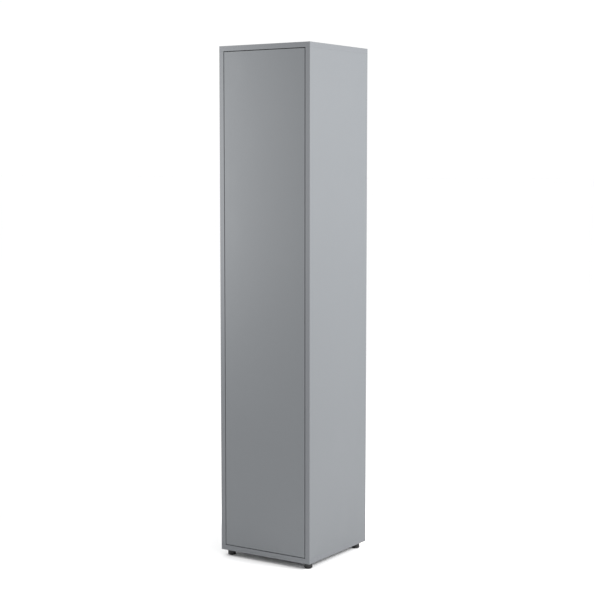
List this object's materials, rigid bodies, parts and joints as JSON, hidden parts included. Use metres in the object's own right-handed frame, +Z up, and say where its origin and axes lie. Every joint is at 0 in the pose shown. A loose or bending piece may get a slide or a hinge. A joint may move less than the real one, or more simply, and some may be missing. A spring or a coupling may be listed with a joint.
{
  "type": "storage locker cabinet",
  "caption": "Tall narrow cabinet of grey coated board with one full-height push-to-open door on concealed hinges, loose shelves and levelling feet.",
  "frame": {"origin": "on the floor, at the middle of the footprint", "axes": "+Z up, +X to the right as seen from the front, the door faces -Y"},
  "size_m": [0.455, 0.46, 2.192],
  "materials": {
    "grey_board": "matt grey melamine face on chipboard",
    "edge_band": "matt grey plastic edge band",
    "back_sheet": "white lacquered fibreboard",
    "joint_strip": "white plastic strip",
    "plated_steel": "zinc plated steel",
    "cam_metal": "die-cast zinc",
    "beech": "fluted beech",
    "screw_steel": "zinc plated steel",
    "black_plastic": "moulded black plastic",
    "hinge_steel": "nickel plated pressed steel",
    "latch_plastic": "moulded grey plastic",
    "plunger_plastic": "moulded light grey plastic",
    "magnet": "dark magnet",
    "spring_steel": "spring wire"
  },
  "bodies": {
    "carcass": {"side_panel_left": "grey_board", "side_panel_right": "grey_board", "top_panel": "grey_board", "bottom_panel": "grey_board", "back_panel_upper": "back_sheet", "back_panel_lower": "back_sheet", "back_joint_strip": "joint_strip", "fixed_shelf": "grey_board", "shelf_1": "grey_board", "shelf_2": "grey_board", "shelf_3": "grey_board", "shelf_4": "grey_board", "side_edge_bands": "edge_band", "top_edge_bands": "edge_band", "bottom_edge_bands": "edge_band", "shelf_edge_bands": "edge_band", "shelf_pins": "plated_steel", "cam_locks": "cam_metal", "cam_dowels": "plated_steel", "wood_dowels": "beech", "wall_brackets": "plated_steel", "bracket_screws": "screw_steel", "foot_sockets": "black_plastic", "hinge_arm_1": "hinge_steel", "hinge_arm_2": "hinge_steel", "hinge_arm_3": "hinge_steel", "hinge_arm_4": "hinge_steel", "hinge_plates": "hinge_steel", "hinge_arm_pins": "hinge_steel", "hinge_plate_screws": "screw_steel", "hinge_arm_screws": "screw_steel", "latch_housing": "latch_plastic", "latch_spring": "spring_steel", "latch_screws": "screw_steel"},
    "front_links": {"hinge_front_link_1": "hinge_steel", "hinge_front_link_2": "hinge_steel", "hinge_front_link_3": "hinge_steel", "hinge_front_link_4": "hinge_steel"},
    "door": {"door_panel": "grey_board", "door_edge_bands": "edge_band", "hinge_cup_1": "hinge_steel", "hinge_cup_2": "hinge_steel", "hinge_cup_3": "hinge_steel", "hinge_cup_4": "hinge_steel", "hinge_cup_pins": "hinge_steel", "hinge_cup_screws": "screw_steel", "strike_plate": "plated_steel", "strike_screws": "screw_steel"},
    "rear_links": {"hinge_rear_link_1": "hinge_steel", "hinge_rear_link_2": "hinge_steel", "hinge_rear_link_3": "hinge_steel", "hinge_rear_link_4": "hinge_steel"},
    "latch_plunger": {"latch_plunger": "plunger_plastic", "latch_magnet": "magnet"},
    "foot_front_left": {"foot_front_left": "black_plastic"},
    "foot_front_right": {"foot_front_right": "black_plastic"},
    "foot_rear_left": {"foot_rear_left": "black_plastic"},
    "foot_rear_right": {"foot_rear_right": "black_plastic"}
  },
  "joints": [
    {"name": "front_link_swing", "type": "hinge", "parent": "carcass", "child": "front_links", "pos_m": [-0.1685, -0.2094, 1.1095], "axis": [0, 0, -1], "range_deg": [-59.4, 0]},
    {"name": "door_swing", "type": "hinge", "parent": "front_links", "child": "door", "pos_m": [-0.1922, -0.2165, 1.1095], "axis": [0, 0, -1], "range_deg": [0, 154.4]},
    {"name": "rear_link_swing", "type": "hinge", "parent": "door", "child": "rear_links", "pos_m": [-0.1933, -0.2133, 1.1095], "axis": [0, 0, -1], "range_deg": [-151.6, 0]},
    {"name": "latch_push", "type": "slide", "parent": "carcass", "child": "latch_plunger", "axis": [0, -1, 0], "range_m": [0, 0.014], "deforming": ["latch_spring"]},
    {"name": "level_front_left", "type": "slide", "parent": "carcass", "child": "foot_front_left", "axis": [0, 0, -1], "range_m": [0, 0.01]},
    {"name": "level_front_right", "type": "slide", "parent": "carcass", "child": "foot_front_right", "axis": [0, 0, -1], "range_m": [0, 0.01]},
    {"name": "level_rear_left", "type": "slide", "parent": "carcass", "child": "foot_rear_left", "axis": [0, 0, -1], "range_m": [0, 0.01]},
    {"name": "level_rear_right", "type": "slide", "parent": "carcass", "child": "foot_rear_right", "axis": [0, 0, -1], "range_m": [0, 0.01]}
  ],
  "couplings": [
    {"joint": "front_link_swing", "follows": "door_swing", "ratio": -0.38461},
    {"joint": "rear_link_swing", "follows": "door_swing", "ratio": -0.98154},
    {"joint": "latch_push", "follows": "door_swing", "m_per_rad": 0.00519}
  ]
}
